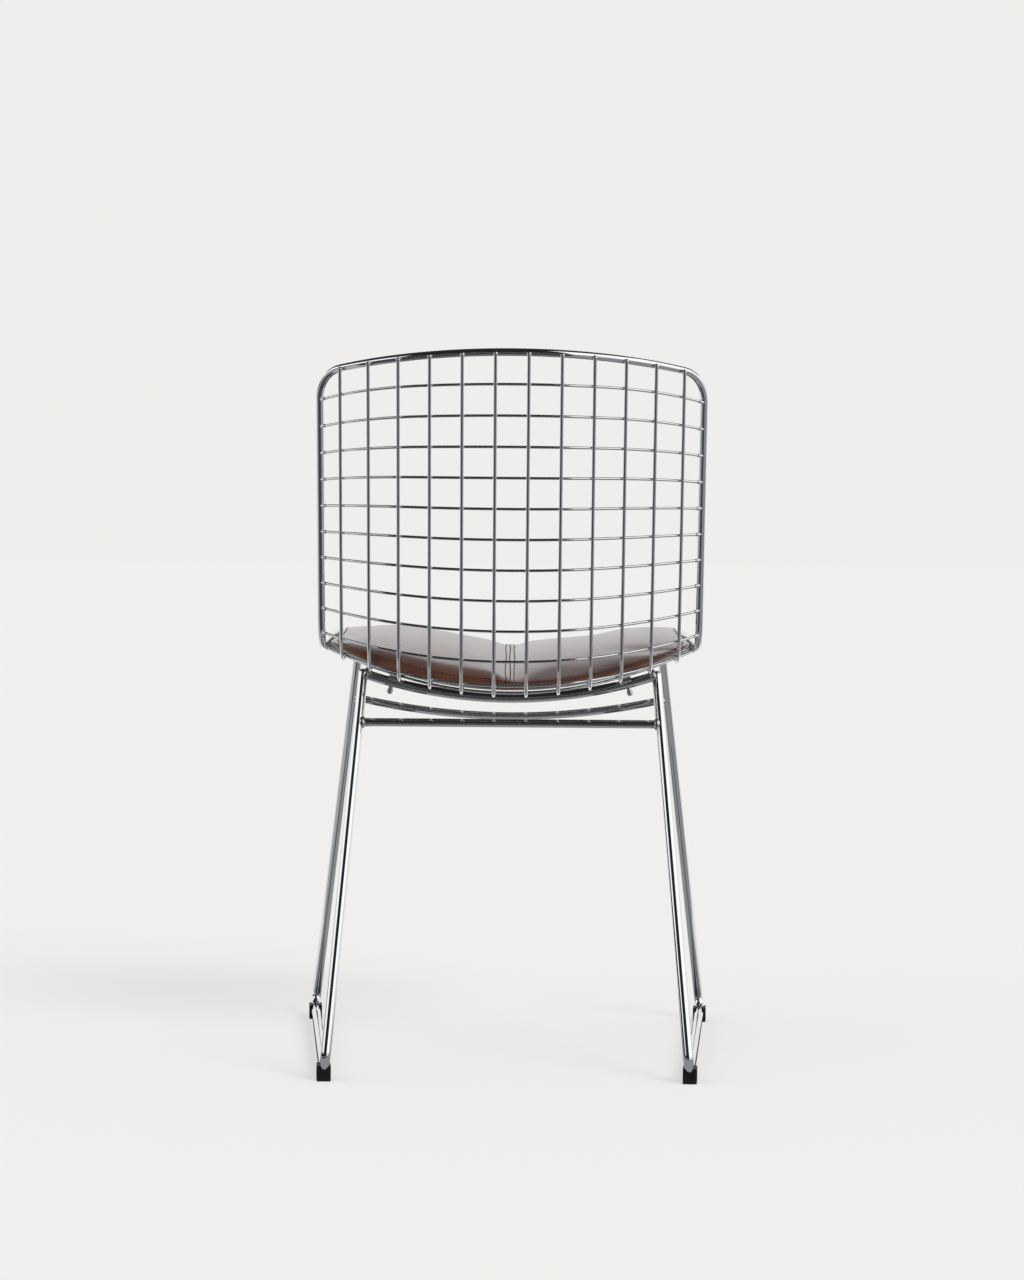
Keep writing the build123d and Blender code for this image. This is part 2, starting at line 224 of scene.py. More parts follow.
chromeLook = {
    "base": (0.80, 0.81, 0.83),
    "rough": (0.03, 0.065),
    "smearScale": 24.0,
    "smearDetail": 4,
    "smearSpan": (0.3, 0.7),
    "rippleScale": 70.0,
    "rippleDetail": 1,
    "ripple": (0.3, 0.00003),  # strength, depth
}


def makeChrome():
    material, tree, shader = newMaterial("polished_chrome")
    smear = noiseNode(tree, chromeLook["smearScale"], chromeLook["smearDetail"])
    rough = rangeNode(tree, smear.outputs["Fac"], *chromeLook["rough"], *chromeLook["smearSpan"])
    tree.links.new(rough, shader.inputs["Roughness"])
    shader.inputs["Base Color"].default_value = (*chromeLook["base"], 1)
    shader.inputs["Metallic"].default_value = 1.0
    ripple = noiseNode(tree, chromeLook["rippleScale"], chromeLook["rippleDetail"])
    tree.links.new(bumpNode(tree, ripple.outputs["Fac"], *chromeLook["ripple"]), shader.inputs["Normal"])
    return material


weldLook = {
    "tones": [(0.35, (0.52, 0.52, 0.53)), (0.65, (0.78, 0.78, 0.79))],
    "scale": 260.0,
    "detail": 3,
    "rough": 0.2,
    "bump": (0.4, 0.0004),
}


def makeWeld():
    material, tree, shader = newMaterial("chromed_weld")
    grain = noiseNode(tree, weldLook["scale"], weldLook["detail"])
    tone = colourRamp(tree, grain.outputs["Fac"], weldLook["tones"])
    tree.links.new(tone, shader.inputs["Base Color"])
    shader.inputs["Metallic"].default_value = 1.0
    shader.inputs["Roughness"].default_value = weldLook["rough"]
    tree.links.new(bumpNode(tree, grain.outputs["Fac"], *weldLook["bump"]), shader.inputs["Normal"])
    return material


footLook = {
    "tones": [(0.3, (0.003, 0.003, 0.0034)), (0.7, (0.009, 0.009, 0.01))],
    "scale": 700.0,
    "detail": 3,
    "rough": (0.42, 0.6),
    "specular": 0.25,
    "bump": (0.3, 0.00012),
}


def makeFootPlastic():
    material, tree, shader = newMaterial("black_foot_plastic")
    grain = noiseNode(tree, footLook["scale"], footLook["detail"])
    tone = colourRamp(tree, grain.outputs["Fac"], footLook["tones"])
    tree.links.new(tone, shader.inputs["Base Color"])
    tree.links.new(rangeNode(tree, grain.outputs["Fac"], *footLook["rough"]), shader.inputs["Roughness"])
    shader.inputs["Specular IOR Level"].default_value = footLook["specular"]
    tree.links.new(bumpNode(tree, grain.outputs["Fac"], *footLook["bump"]), shader.inputs["Normal"])
    return material


leatherLook = {
    "tones": [(0.28, (0.057, 0.017, 0.008)), (0.52, (0.1, 0.03, 0.012)), (0.78, (0.138, 0.044, 0.017))],
    "padShade": 1.0,
    # lightened copy for the centre band and piping: painted sheen
    "bandPaintedSheen": 1.15,
    # darkened copy for the pad's underside: painted shade
    "undersidePaintedShade": 0.25,
    "mottleScale": 22.0,
    "mottleDetail": 5,
    "grainScale": 620.0,
    "grainSpan": (0.0, 0.25),
    "grainBump": (0.3, 0.00022),
    "creaseScale": 95.0,
    "creaseDetail": 6,
    "creaseSpan": (0.3, 0.7),
    "creaseBump": (0.35, 0.0006),
    "rough": (0.36, 0.5),
    "sheenTint": (0.82, 0.82, 0.87),
    "gloss": {
        "Specular IOR Level": 0.6,
        "Sheen Weight": 0.45,
        "Sheen Roughness": 0.35,
        "Coat Weight": 1.0,
        "Coat Roughness": 0.2,
    },
}


def makeLeather(name, shade):
    material, tree, shader = newMaterial(name)
    coords = tree.nodes.new("ShaderNodeTexCoord").outputs["Object"]
    mottle = noiseNode(tree, leatherLook["mottleScale"], leatherLook["mottleDetail"], coords)
    # shade scales the leather tones: above 1 paints sheen, below 1 paints shade, 1 leaves the leather's own
    # colour
    tones = [(place, tuple(shade * channel for channel in colour)) for place, colour in leatherLook["tones"]]
    tone = colourRamp(tree, mottle.outputs["Fac"], tones)
    tree.links.new(tone, shader.inputs["Base Color"])
    grain = tree.nodes.new("ShaderNodeTexVoronoi")
    grain.feature = "DISTANCE_TO_EDGE"
    grain.inputs["Scale"].default_value = leatherLook["grainScale"]
    tree.links.new(coords, grain.inputs["Vector"])
    pebble = rangeNode(tree, grain.outputs["Distance"], 0.0, 1.0, *leatherLook["grainSpan"])
    crease = noiseNode(tree, leatherLook["creaseScale"], leatherLook["creaseDetail"], coords)
    soft = bumpNode(tree, crease.outputs["Fac"], *leatherLook["creaseBump"])
    tree.links.new(bumpNode(tree, pebble, *leatherLook["grainBump"], soft), shader.inputs["Normal"])
    rough = rangeNode(tree, crease.outputs["Fac"], *leatherLook["rough"], *leatherLook["creaseSpan"])
    tree.links.new(rough, shader.inputs["Roughness"])
    shader.inputs["Sheen Tint"].default_value = (*leatherLook["sheenTint"], 1)
    for socket, value in leatherLook["gloss"].items():
        shader.inputs[socket].default_value = value
    return material


threadLook = {
    "tones": [(0.2, (0.012, 0.006, 0.004)), (0.8, (0.04, 0.018, 0.011))],
    "twistScale": 1400.0,
    "rough": 0.7,
    "bump": (0.5, 0.0001),
}


def makeThread():
    material, tree, shader = newMaterial("brown_thread")
    coords = tree.nodes.new("ShaderNodeTexCoord").outputs["Object"]
    twist = tree.nodes.new("ShaderNodeTexWave")
    twist.bands_direction = "DIAGONAL"
    twist.inputs["Scale"].default_value = threadLook["twistScale"]
    tree.links.new(coords, twist.inputs["Vector"])
    tone = colourRamp(tree, twist.outputs["Fac"], threadLook["tones"])
    tree.links.new(tone, shader.inputs["Base Color"])
    shader.inputs["Roughness"].default_value = threadLook["rough"]
    tree.links.new(bumpNode(tree, twist.outputs["Fac"], *threadLook["bump"]), shader.inputs["Normal"])
    return material


chrome = makeChrome()
weldChrome = makeWeld()
footPlastic = makeFootPlastic()
padLeather = makeLeather("brown_pad_leather", leatherLook["padShade"])
# the band's copy of the leather is lightened by 15 per cent: painted sheen
sheenBandLeather = makeLeather("brown_band_leather_painted_sheen", leatherLook["bandPaintedSheen"])
# the underside's copy of the leather is darkened to a quarter: painted shade under the pad
shadedUnderLeather = makeLeather("pad_underside_painted_shade", leatherLook["undersidePaintedShade"])
thread = makeThread()
for name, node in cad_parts.items():
    node.data.materials.clear()
    node.data.materials.append(footPlastic if name.endswith("_foot") else chrome)
    node.data.shade_smooth()
print("materials set")


# Mesh helpers


def meshObject(name, vertices, faces, material):
    mesh = bpy.data.meshes.new(name)
    mesh.from_pydata([tuple(v) for v in vertices], [], faces)
    mesh.update()
    mesh.shade_smooth()
    mesh.materials.append(material)
    made = bpy.data.objects.new(name, mesh)
    bpy.context.scene.collection.objects.link(made)
    return made


def addBead(vertices, faces, centre, along, across, sizes, rings=5, sides=10):
    # a rounded bead with its own half sizes along, across and out
    out = along.cross(across).normalized()
    start = len(vertices)
    vertices.append(centre - out * sizes[2])
    for ring in range(1, rings):
        height = -math.cos(math.pi * ring / rings)
        reach = math.sin(math.pi * ring / rings)
        for side in range(sides):
            turn = 2 * math.pi * side / sides
            spot = along * (sizes[0] * reach * math.cos(turn)) + across * (sizes[1] * reach * math.sin(turn))
            vertices.append(centre + spot + out * (sizes[2] * height))
    vertices.append(centre + out * sizes[2])
    last = len(vertices) - 1
    for side in range(sides):
        following = (side + 1) % sides
        faces.append((start, start + 1 + following, start + 1 + side))
        for ring in range(rings - 2):
            low = start + 1 + ring * sides
            faces.append((low + side, low + following, low + sides + following, low + sides + side))
        top = start + 1 + (rings - 2) * sides
        faces.append((top + side, top + following, last))


def addTube(vertices, faces, points, radius, closed, sides=8):
    start = len(vertices)
    count = len(points)
    for index, point in enumerate(points):
        before = points[index - 1] if closed or index else point
        after = points[(index + 1) % count] if closed or index < count - 1 else point
        along = (after - before).normalized()
        across = along.cross(Vector((0, 0, 1))).normalized()
        out = across.cross(along).normalized()
        for side in range(sides):
            turn = 2 * math.pi * side / sides
            vertices.append(point + (across * math.cos(turn) + out * math.sin(turn)) * radius)
    for index in range(count if closed else count - 1):
        here = start + index * sides
        there = start + ((index + 1) % count) * sides
        for side in range(sides):
            following = (side + 1) % sides
            faces.append((here + side, here + following, there + following, there + side))
    if not closed:
        faces.append(tuple(start + side for side in reversed(range(sides))))
        faces.append(tuple(start + (count - 1) * sides + side for side in range(sides)))


# Welds at each crossing of the wires, and where each cross wire meets the rim
beads = {
    "crossing": (0.0023, 0.0026, 0.0012),  # half sizes along the long wire, across it and out
    "rimReach": 0.2055,
    "rim": (0.0021, 0.0021, 0.0021),
}
acrossChair = Vector((1, 0, 0))
vertices, faces = [], []
for number in range(1, wires["crossCount"] + 1):
    for long in range(1, wires["longCount"] // 2 + 1):
        for side in (1, -1):
            x = longWireX(long)
            spot, out = crossWirePoint(number, x)
            spot = Vector((side * spot.x, spot.y, spot.z)) + out * wires["crossRadius"]
            along = acrossChair.cross(out).normalized()
            addBead(vertices, faces, spot, along, acrossChair, beads["crossing"])
    for side in (1, -1):
        spot, out = crossWirePoint(number, beads["rimReach"])
        spot = Vector((side * spot.x, spot.y, spot.z))
        along = acrossChair.cross(out).normalized()
        addBead(vertices, faces, spot, along, acrossChair, beads["rim"])
wireWelds = meshObject("wire_welds", vertices, faces, weldChrome)
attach(wireWelds, "chair")
print("wire welds:", len(vertices), "points")


# Welds where the rods meet the legs, and at the top end of each long wire
rods = {
    "rear_support_rod": 0.0055,
    "front_support_rod": 0.0055,
    "rear_stretcher": 0.00475,
    "front_stretcher": 0.00475,
}
collar = {
    "spread": 1.5,  # in rod radii
    "depth": 0.0046,
    "endSlice": 0.003,
    "innerSlice": (0.006, 0.04),
    "rings": 8,
    "sides": 20,
    "wireTip": (0.0027, 0.0027, 0.0027),
    "wireRings": 6,
    "wireSides": 12,
}
vertices, faces = [], []


def meanPoint(points):
    return sum(points, Vector()) / len(points)


for rod, radius in rods.items():
    points = [v.co.copy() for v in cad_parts[rod].data.vertices]
    reach = max(p.x for p in points)
    for side in (1, -1):
        near, far = collar["innerSlice"]
        end = meanPoint([p for p in points if side * p.x > reach - collar["endSlice"]])
        within = [p for p in points if reach - far < side * p.x < reach - near]
        inner = meanPoint(within or points)  # a straight rod has no points there
        along = (end - inner).normalized()
        across = along.cross(Vector((0, 1, 0))).normalized()
        third = along.cross(across).normalized()
        sizes = (radius * collar["spread"], radius * collar["spread"], collar["depth"])
        addBead(vertices, faces, end, across, third, sizes, collar["rings"], collar["sides"])
for name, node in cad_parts.items():
    if name.startswith("longitudinal_wire"):
        top = max((v.co for v in node.data.vertices), key=lambda spot: spot.z)
        tip = meanPoint([v.co for v in node.data.vertices if v.co.z > top.z - collar["endSlice"]])
        bead = collar["wireTip"], collar["wireRings"], collar["wireSides"]
        addBead(vertices, faces, tip, acrossChair, Vector((0, 1, 0)), *bead)
frameWelds = meshObject("frame_welds", vertices, faces, weldChrome)
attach(frameWelds, "chair")
print("frame welds:", len(vertices), "points")


# Seat pad: a leather cover in two crowned halves, inflated as cloth over its sewn edges and channel
pad = {
    "halfWidth": 0.202,
    "thickness": 0.030,
    "rearGap": 0.025,
    "frontGap": 0.010,
    "cornerRadius": 0.046,
    "edgeWidth": 0.080,
    "sideShare": (0.40, 0.52),
    "seamDepth": 0.007,
    "seamWidth": 0.026,
    "bottomOut": 0.00065,
    "seamHeight": 0.0055,
    "seamShare": 0.4,
    "rearRound": (0.040, 0.015),
    "frontRound": 0.030,
    "sideRound": 0.009,
    "bottomRound": 0.034,
    "crownPlace": 0.42,
    "rearShare": (0.64, 0.40),
    "frontShare": 0.80,
    "valleyDepth": 0.006,
    "valleyWidth": 0.055,
    "roundPower": 2.4,
    "sidePull": 0.013,
    "pleatDepth": 0.0016,
    "pleatWidth": 0.085,
    "pleatTurns": (0.42, 0.8, 1.15),
    "pleatStart": 0.35,
    "pleatFade": 0.4,
    "swellRoom": 0.0015,
    "swellCap": 0.007,
    "swellPlace": 0.095,
    "swellWidth": 0.05,
    "fullness": (0.0045, -0.005),
    "channelPin": 0.0075,
    "columns": 96,
    "rows": 84,
    "rowSpread": (0.45, 0.55),  # even share, and share that crowds towards the ends
}
padCloth = {
    "quality": 6,
    "mass": 0.4,
    "tension_stiffness": 30,
    "compression_stiffness": 30,
    "shear_stiffness": 12,
    "bending_stiffness": 12,
    "use_pressure": True,
    "uniform_pressure_force": 2.5,
}
padFrames = 20


def padEnds(x):
    past = max(0.0, abs(x) - pad["halfWidth"] + pad["cornerRadius"])
    draw = pad["cornerRadius"] - math.sqrt(max(0.0, pad["cornerRadius"] ** 2 - past**2))
    return shell["frontY"] + pad["frontGap"] + draw, bendCorner(x, 0).y - pad["rearGap"] - draw


def roundUp(distance, width):
    inside = min(distance / width, 1.0)
    return max(0.0, 1 - (1 - inside) ** pad["roundPower"]) ** (1 / pad["roundPower"])


def halfValue(name, x):
    # the two halves of the worn pad differ: left value, right value, blended across the channel
    left, right = pad[name]
    return between(right, left, min(1.0, max(0.0, 0.5 + x / pad["seamWidth"])))


def padHeight(x, y, front, rear):
    past = max(0.0, abs(x) - pad["halfWidth"] + pad["edgeWidth"]) / pad["edgeWidth"]
    height = pad["thickness"] * between(1, halfValue("sideShare", x), past**2)
    height -= pad["seamDepth"] / (1 + (2 * abs(x) / pad["seamWidth"]) ** 4)
    frontShare = (rear - y) / (rear - front)
    swell = math.exp(-(((abs(x) - pad["swellPlace"]) / pad["swellWidth"]) ** 2)) * frontShare**2
    valley = pad["valleyDepth"] * math.exp(-((x / pad["valleyWidth"]) ** 2)) * frontShare
    return height + halfValue("fullness", x) * swell - valley


def padCrown(x, place):
    # thickest a little forward of the middle, thinner at both ends
    if place < pad["crownPlace"]:
        return between(1, pad["frontShare"], (1 - place / pad["crownPlace"]) ** 2)
    return between(1, halfValue("rearShare", x), ((place - pad["crownPlace"]) / (1 - pad["crownPlace"])) ** 2)


def cornerPleat(x, y):
    # three small tucks that fan out to each rounded corner
    radius = pad["cornerRadius"]
    side = abs(x) - (pad["halfWidth"] - radius)
    front, rear = padEnds(pad["halfWidth"] - radius)
    end = max(front + radius - y, y - rear + radius)
    if side <= 0 or end <= 0:
        return 0.0
    turn = math.atan2(end, side)
    reach = max(0.0, math.hypot(side, end) / radius - pad["pleatStart"]) / pad["pleatFade"]
    folds = sum(math.exp(-(((turn - place) / pad["pleatWidth"]) ** 2)) for place in pad["pleatTurns"])
    return pad["pleatDepth"] * folds * min(1.0, reach)


def padPoint(x, y, top):
    front, rear = padEnds(x)
    height = padHeight(x, y, front, rear)
    sewn = min(pad["seamHeight"], pad["seamShare"] * height)
    sideGap = pad["halfWidth"] - abs(x)
    base = seatPoint(x, pad["bottomOut"], y)
    if top:
        crown = padCrown(x, (y - front) / (rear - front)) * height
        rise = roundUp(rear - y, halfValue("rearRound", x)) * roundUp(y - front, pad["frontRound"])
        rise *= roundUp(sideGap, pad["sideRound"])
        base.z += sewn + (crown - pad["swellRoom"] - sewn - cornerPleat(x, y)) * rise
    else:
        endGap = min(rear - y, y - front)
        rise = roundUp(endGap, pad["bottomRound"]) * roundUp(sideGap, pad["bottomRound"])
        base.z += sewn * (1 - rise)
    halfway = (2 * y - rear - front) / (rear - front)
    base.x *= 1 - pad["sidePull"] * (1 - halfway**2)
    return base


def padGrid():
    columns, rows = pad["columns"], pad["rows"]
    even, crowded = pad["rowSpread"]
    vertices, faces, pins = [], [], []
    index = {}
    for column in range(columns + 1):
        across = math.sin((2 * column / columns - 1) * math.pi / 2)
        x = pad["halfWidth"] * across
        front, rear = padEnds(x)
        for row in range(rows + 1):
            step = 2 * row / rows - 1
            reach = even * step + crowded * math.sin(step * math.pi / 2)
            y = (front + rear) / 2 + (rear - front) / 2 * reach
            rim = column in (0, columns) or row in (0, rows)
            for top in (True, False):
                if rim and not top:
                    index[column, row, top] = index[column, row, True]
                    continue
                index[column, row, top] = len(vertices)
                vertices.append(padPoint(x, y, top))
                edge = min(rear - y, y - front, pad["halfWidth"] - abs(x))
                channel = top and abs(x) < pad["channelPin"]
                if rim or channel or (not top and edge > pad["bottomRound"]):
                    pins.append(index[column, row, top])
    for column in range(columns):
        for row in range(rows):
            for top in (True, False):
                corners = [(column, row), (column + 1, row), (column + 1, row + 1), (column, row + 1)]
                ring = [index[c, r, top] for c, r in corners]
                faces.append(ring if top else ring[::-1])
    edge = [(c, 0) for c in range(columns)] + [(columns, r) for r in range(rows)]
    edge += [(c, rows) for c in range(columns, 0, -1)] + [(0, r) for r in range(rows, 0, -1)]
    return vertices, faces, pins, [index[c, r, True] for c, r in edge]


def inflate(made, pins):
    scene = bpy.context.scene
    start = [v.co.copy() for v in made.data.vertices]
    group = made.vertex_groups.new(name="sewn")
    group.add(pins, 1.0, "REPLACE")
    cloth = made.modifiers.new("Cloth", "CLOTH")
    for setting, value in padCloth.items():
        setattr(cloth.settings, setting, value)
    cloth.settings.vertex_group_mass = "sewn"
    cloth.settings.effector_weights.gravity = 0
    cloth.point_cache.frame_start = 1
    cloth.point_cache.frame_end = padFrames
    for step in range(1, padFrames + 1):
        scene.frame_set(step)
    settled = made.evaluated_get(bpy.context.evaluated_depsgraph_get())
    ended = [v.co.copy() for v in settled.data.vertices]
    made.modifiers.remove(cloth)
    for vertex, first, last in zip(made.data.vertices, start, ended):
        move = last - first
        if move.length > pad["swellCap"]:
            move *= pad["swellCap"] / move.length
        vertex.co = first + move
    made.data.update()
    scene.frame_set(1)


vertices, faces, pins, edgeLoop = padGrid()
seatPad = meshObject("seat_pad_leather", vertices, faces, padLeather)
# the bottom faces take the darkened leather copy, painted shade
seatPad.data.materials.append(shadedUnderLeather)
for face in list(seatPad.data.polygons)[1::2]:
    face.material_index = 1
inflate(seatPad, pins)
smooth = seatPad.modifiers.new("Smooth skin", "SUBSURF")
smooth.levels = 1
smooth.render_levels = 1
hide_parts("seat_pad_cover", "seat_pad_foam")
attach(seatPad, "seat_pad")
print("seat pad:", len(vertices), "points")

padTree = BVHTree.FromPolygons([v.co.copy() for v in seatPad.data.vertices], faces)


def padTop(x, y):
    hit, normal, _, _ = padTree.ray_cast(Vector((x, y, 1.0)), Vector((0, 0, -1)))
    return hit, normal


# Centre band: a leather strip down the channel, with three sewn grooves
band = {
    "halfWidth": 0.0068,
    "lift": 0.0012,
    "grooves": (-0.005, 0.0, 0.005),
    "grooveWidth": 0.0009,
    "grooveDepth": 0.0007,
    "wander": 0.0005,
    "wanderTurns": 15,
    "wanderShift": 700,
    "edgePower": 8,
    "endGap": 0.0012,
    "steps": 150,
    "columns": 26,
}


def bandEnds():
    front, rear = padEnds(0)
    return front + band["endGap"], rear - band["endGap"]


def grooveX(line, share):
    return line + band["wander"] * math.sin(band["wanderTurns"] * share + band["wanderShift"] * line)


def bandPoint(x, share):
    front, rear = bandEnds()
    step = 2 * share - 1
    y = (front + rear) / 2 + (rear - front) / 2 * math.sin(step * math.pi / 2)
    hit, normal = padTop(x, y)
    lines = [grooveX(line, share) for line in band["grooves"]]
    groove = max(math.exp(-(((x - line) / band["grooveWidth"]) ** 2)) for line in lines)
    edge = 1 - (abs(x) / band["halfWidth"]) ** band["edgePower"]
    return hit + normal * (band["lift"] * edge - band["grooveDepth"] * groove), normal


vertices, faces = [], []
for row in range(band["steps"] + 1):
    for column in range(band["columns"] + 1):
        x = band["halfWidth"] * (2 * column / band["columns"] - 1)
        vertices.append(bandPoint(x, row / band["steps"])[0])
wide = band["columns"] + 1
for row in range(band["steps"]):
    for column in range(band["columns"]):
        low = row * wide + column
        faces.append((low, low + 1, low + wide + 1, low + wide))
centreBand = meshObject("pad_centre_band", vertices, faces, sheenBandLeather)
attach(centreBand, "seat_pad")
print("centre band:", len(vertices), "points")

# Stitches: along the band's grooves, across its ends and round the pad's edge
stitch = {
    "pitch": 0.0044,
    "halfLength": 0.0017,
    "radius": 0.00048,
    "lift": 0.5,  # in thread radii
    "rings": 4,
    "sides": 6,
    "leastGap": 1e-6,
    "grooveSteps": 400,
    "crossPlaces": (0.06, 0.94),
    "crossReach": 0.95,
    "crossSteps": 20,
    "edgeInset": 0.0065,
    "bandClear": 1.3,  # the edge line stops this many band half widths from the middle
}
vertices, faces = [], []


def sewLine(points, normals):
    # one stitch at each pitch along the line
    travelled = stitch["pitch"]
    for first, second, normal in zip(points, points[1:], normals):
        gap = (second - first).length
        if gap < stitch["leastGap"]:
            continue
        along = (second - first) / gap
        while travelled < gap:
            spot = first + along * travelled + normal * stitch["radius"] * stitch["lift"]
            across = normal.cross(along).normalized()
            sizes = (stitch["halfLength"], stitch["radius"], stitch["radius"])
            addBead(vertices, faces, spot, along, across, sizes, stitch["rings"], stitch["sides"])
            travelled += stitch["pitch"]
        travelled -= gap


for line in band["grooves"]:
    shares = [step / stitch["grooveSteps"] for step in range(stitch["grooveSteps"] + 1)]
    run = [bandPoint(grooveX(line, share), share) for share in shares]
    sewLine([p for p, _ in run], [n for _, n in run])
for share in stitch["crossPlaces"]:
    reach = band["halfWidth"] * stitch["crossReach"]
    places = [step / stitch["crossSteps"] - 1 for step in range(2 * stitch["crossSteps"] + 1)]
    run = [bandPoint(reach * place, share) for place in places]
    sewLine([p for p, _ in run], [n for _, n in run])
middle = sum((v.co for v in seatPad.data.vertices), Vector()) / len(seatPad.data.vertices)
edgePoints = [seatPad.data.vertices[i].co.copy() for i in edgeLoop]
inset = []
for point in edgePoints:
    inward = Vector((middle.x - point.x, middle.y - point.y, 0)).normalized()
    spot = point + inward * stitch["edgeInset"]
    if abs(spot.x) > band["halfWidth"] * stitch["bandClear"]:
        hit, normal = padTop(spot.x, spot.y)
        inset.append((hit, normal))
sewLine([p for p, _ in inset], [n for _, n in inset])
stitches = meshObject("pad_stitches", vertices, faces, thread)
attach(stitches, "seat_pad")
print("stitches:", len(vertices), "points")

# Piping along the sewn edge
piping = {"radius": 0.0019, "leastStep": 0.002}
vertices, faces = [], []
loop = [edgePoints[0]]
for point in edgePoints[1:]:
    if (point - loop[-1]).length > piping["leastStep"]:
        loop.append(point)
addTube(vertices, faces, loop, piping["radius"], True)
# the piping takes the lightened band leather, painted sheen
padPiping = meshObject("pad_piping", vertices, faces, sheenBandLeather)
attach(padPiping, "seat_pad")
print("piping:", len(vertices), "points")


# Studio: pale floor and background, a soft key light, and panels that only the chrome sees
studio = {
    "pale": (0.863, 0.855, 0.839),
    "floorGlow": 0.58,
    "floorTone": 0.447,
    "ambient": 0.55,
    "key": 1.9,
    "keySpread": math.radians(26),
    "keyFrom": Vector((-0.85, 1.2, 0.93)),
    "fill": 0.5,
    "fillSpread": math.radians(60),
    "fillFrom": Vector((2.0, 1.0, 1.6)),
    "floorHalf": 60.0,
}


def seenRay(tree):
    # camera, glossy and transmission rays see the pale tone itself
    path = tree.nodes.new("ShaderNodeLightPath")
    total = path.outputs["Is Camera Ray"]
    for name in ("Is Glossy Ray", "Is Transmission Ray"):
        join = tree.nodes.new("ShaderNodeMath")
        join.operation = "MAXIMUM"
        tree.links.new(total, join.inputs[0])
        tree.links.new(path.outputs[name], join.inputs[1])
        total = join.outputs["Value"]
    return total


world = bpy.data.worlds.new("pale_studio")
bpy.context.scene.world = world
world.use_nodes = True
worldTree = world.node_tree
worldTree.nodes.clear()
paleSky = worldTree.nodes.new("ShaderNodeBackground")
paleSky.inputs["Color"].default_value = (*studio["pale"], 1)
ambientSky = worldTree.nodes.new("ShaderNodeBackground")
ambientSky.inputs["Color"].default_value = (1, 1, 1, 1)
ambientSky.inputs["Strength"].default_value = studio["ambient"]
skyMix = worldTree.nodes.new("ShaderNodeMixShader")
worldTree.links.new(seenRay(worldTree), skyMix.inputs["Fac"])
worldTree.links.new(ambientSky.outputs["Background"], skyMix.inputs[1])
worldTree.links.new(paleSky.outputs["Background"], skyMix.inputs[2])
worldOut = worldTree.nodes.new("ShaderNodeOutputWorld")
worldTree.links.new(skyMix.outputs["Shader"], worldOut.inputs["Surface"])

floorMaterial = bpy.data.materials.new("pale_floor")
floorMaterial.use_nodes = True
floorTree = floorMaterial.node_tree
floorTree.nodes.clear()
floorMatte = floorTree.nodes.new("ShaderNodeBsdfDiffuse")
floorMatte.inputs["Color"].default_value = (*[studio["floorTone"] * c for c in studio["pale"]], 1)
floorGlow = floorTree.nodes.new("ShaderNodeEmission")
floorGlow.inputs["Color"].default_value = (*studio["pale"], 1)
glowStrength = floorTree.nodes.new("ShaderNodeMath")
glowStrength.operation = "MULTIPLY"
glowStrength.inputs[1].default_value = studio["floorGlow"]
floorTree.links.new(seenRay(floorTree), glowStrength.inputs[0])
floorTree.links.new(glowStrength.outputs["Value"], floorGlow.inputs["Strength"])
floorSum = floorTree.nodes.new("ShaderNodeAddShader")
floorTree.links.new(floorMatte.outputs["BSDF"], floorSum.inputs[0])
floorTree.links.new(floorGlow.outputs["Emission"], floorSum.inputs[1])
floorOut = floorTree.nodes.new("ShaderNodeOutputMaterial")
floorTree.links.new(floorSum.outputs["Shader"], floorOut.inputs["Surface"])
corners = [Vector((x, y, 0)) * studio["floorHalf"] for x, y in ((-1, -1), (1, -1), (1, 1), (-1, 1))]
floor = meshObject("studio_floor", corners, [(0, 1, 2, 3)], floorMaterial)
floor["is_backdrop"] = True

# Panels. Azimuth 0 is behind the camera, and it grows towards the picture's right. Each has its
# azimuths, then its heights in degrees or its reach along the floor, and its tone.
panels = {
    "radius": 6.0,
    "middleHeight": 0.5,
    "floorLift": 0.002,
    "shadeLift": 0.003,
    "steps": 24,
    "around": {
        "flag_behind_camera": ((-47, 23), (-4, 90), (0.02, 0.02, 0.022)),
        "flag_left_high": ((-112, -47), (33, 90), (0.02, 0.02, 0.022)),
        "flag_right_high": ((23, 112), (58, 90), (0.02, 0.02, 0.022)),
        "flag_far_high": ((112, 248), (24, 90), (0.05, 0.05, 0.053)),
        "soft_light_right": ((23, 104), (6, 58), (1.25, 1.25, 1.25)),
        "flag_left_low": ((-112, -47), (-5, 8), (0.02, 0.02, 0.022)),
        "soft_light_left": ((-108, -47), (8, 33), (1.15, 1.15, 1.15)),
    },
    "floor": {
        "floor_side_left": ((-110, -62), (0.45, 5.9), (0.45, 0.45, 0.455)),
        "floor_flag_left": ((-62, 23), (0.45, 5.9), (0.06, 0.06, 0.064)),
        "floor_flag_right": ((23, 110), (0.45, 5.9), (0.28, 0.28, 0.285)),
        "floor_flag_near": ((-180, 180), (0.0, 0.45), (0.3, 0.3, 0.305)),
    },
    "shadeX": (0.175, 0.27),
    "shadeY": (-0.3, 0.22),
    "shadeTone": (0.04, 0.04, 0.042),
}


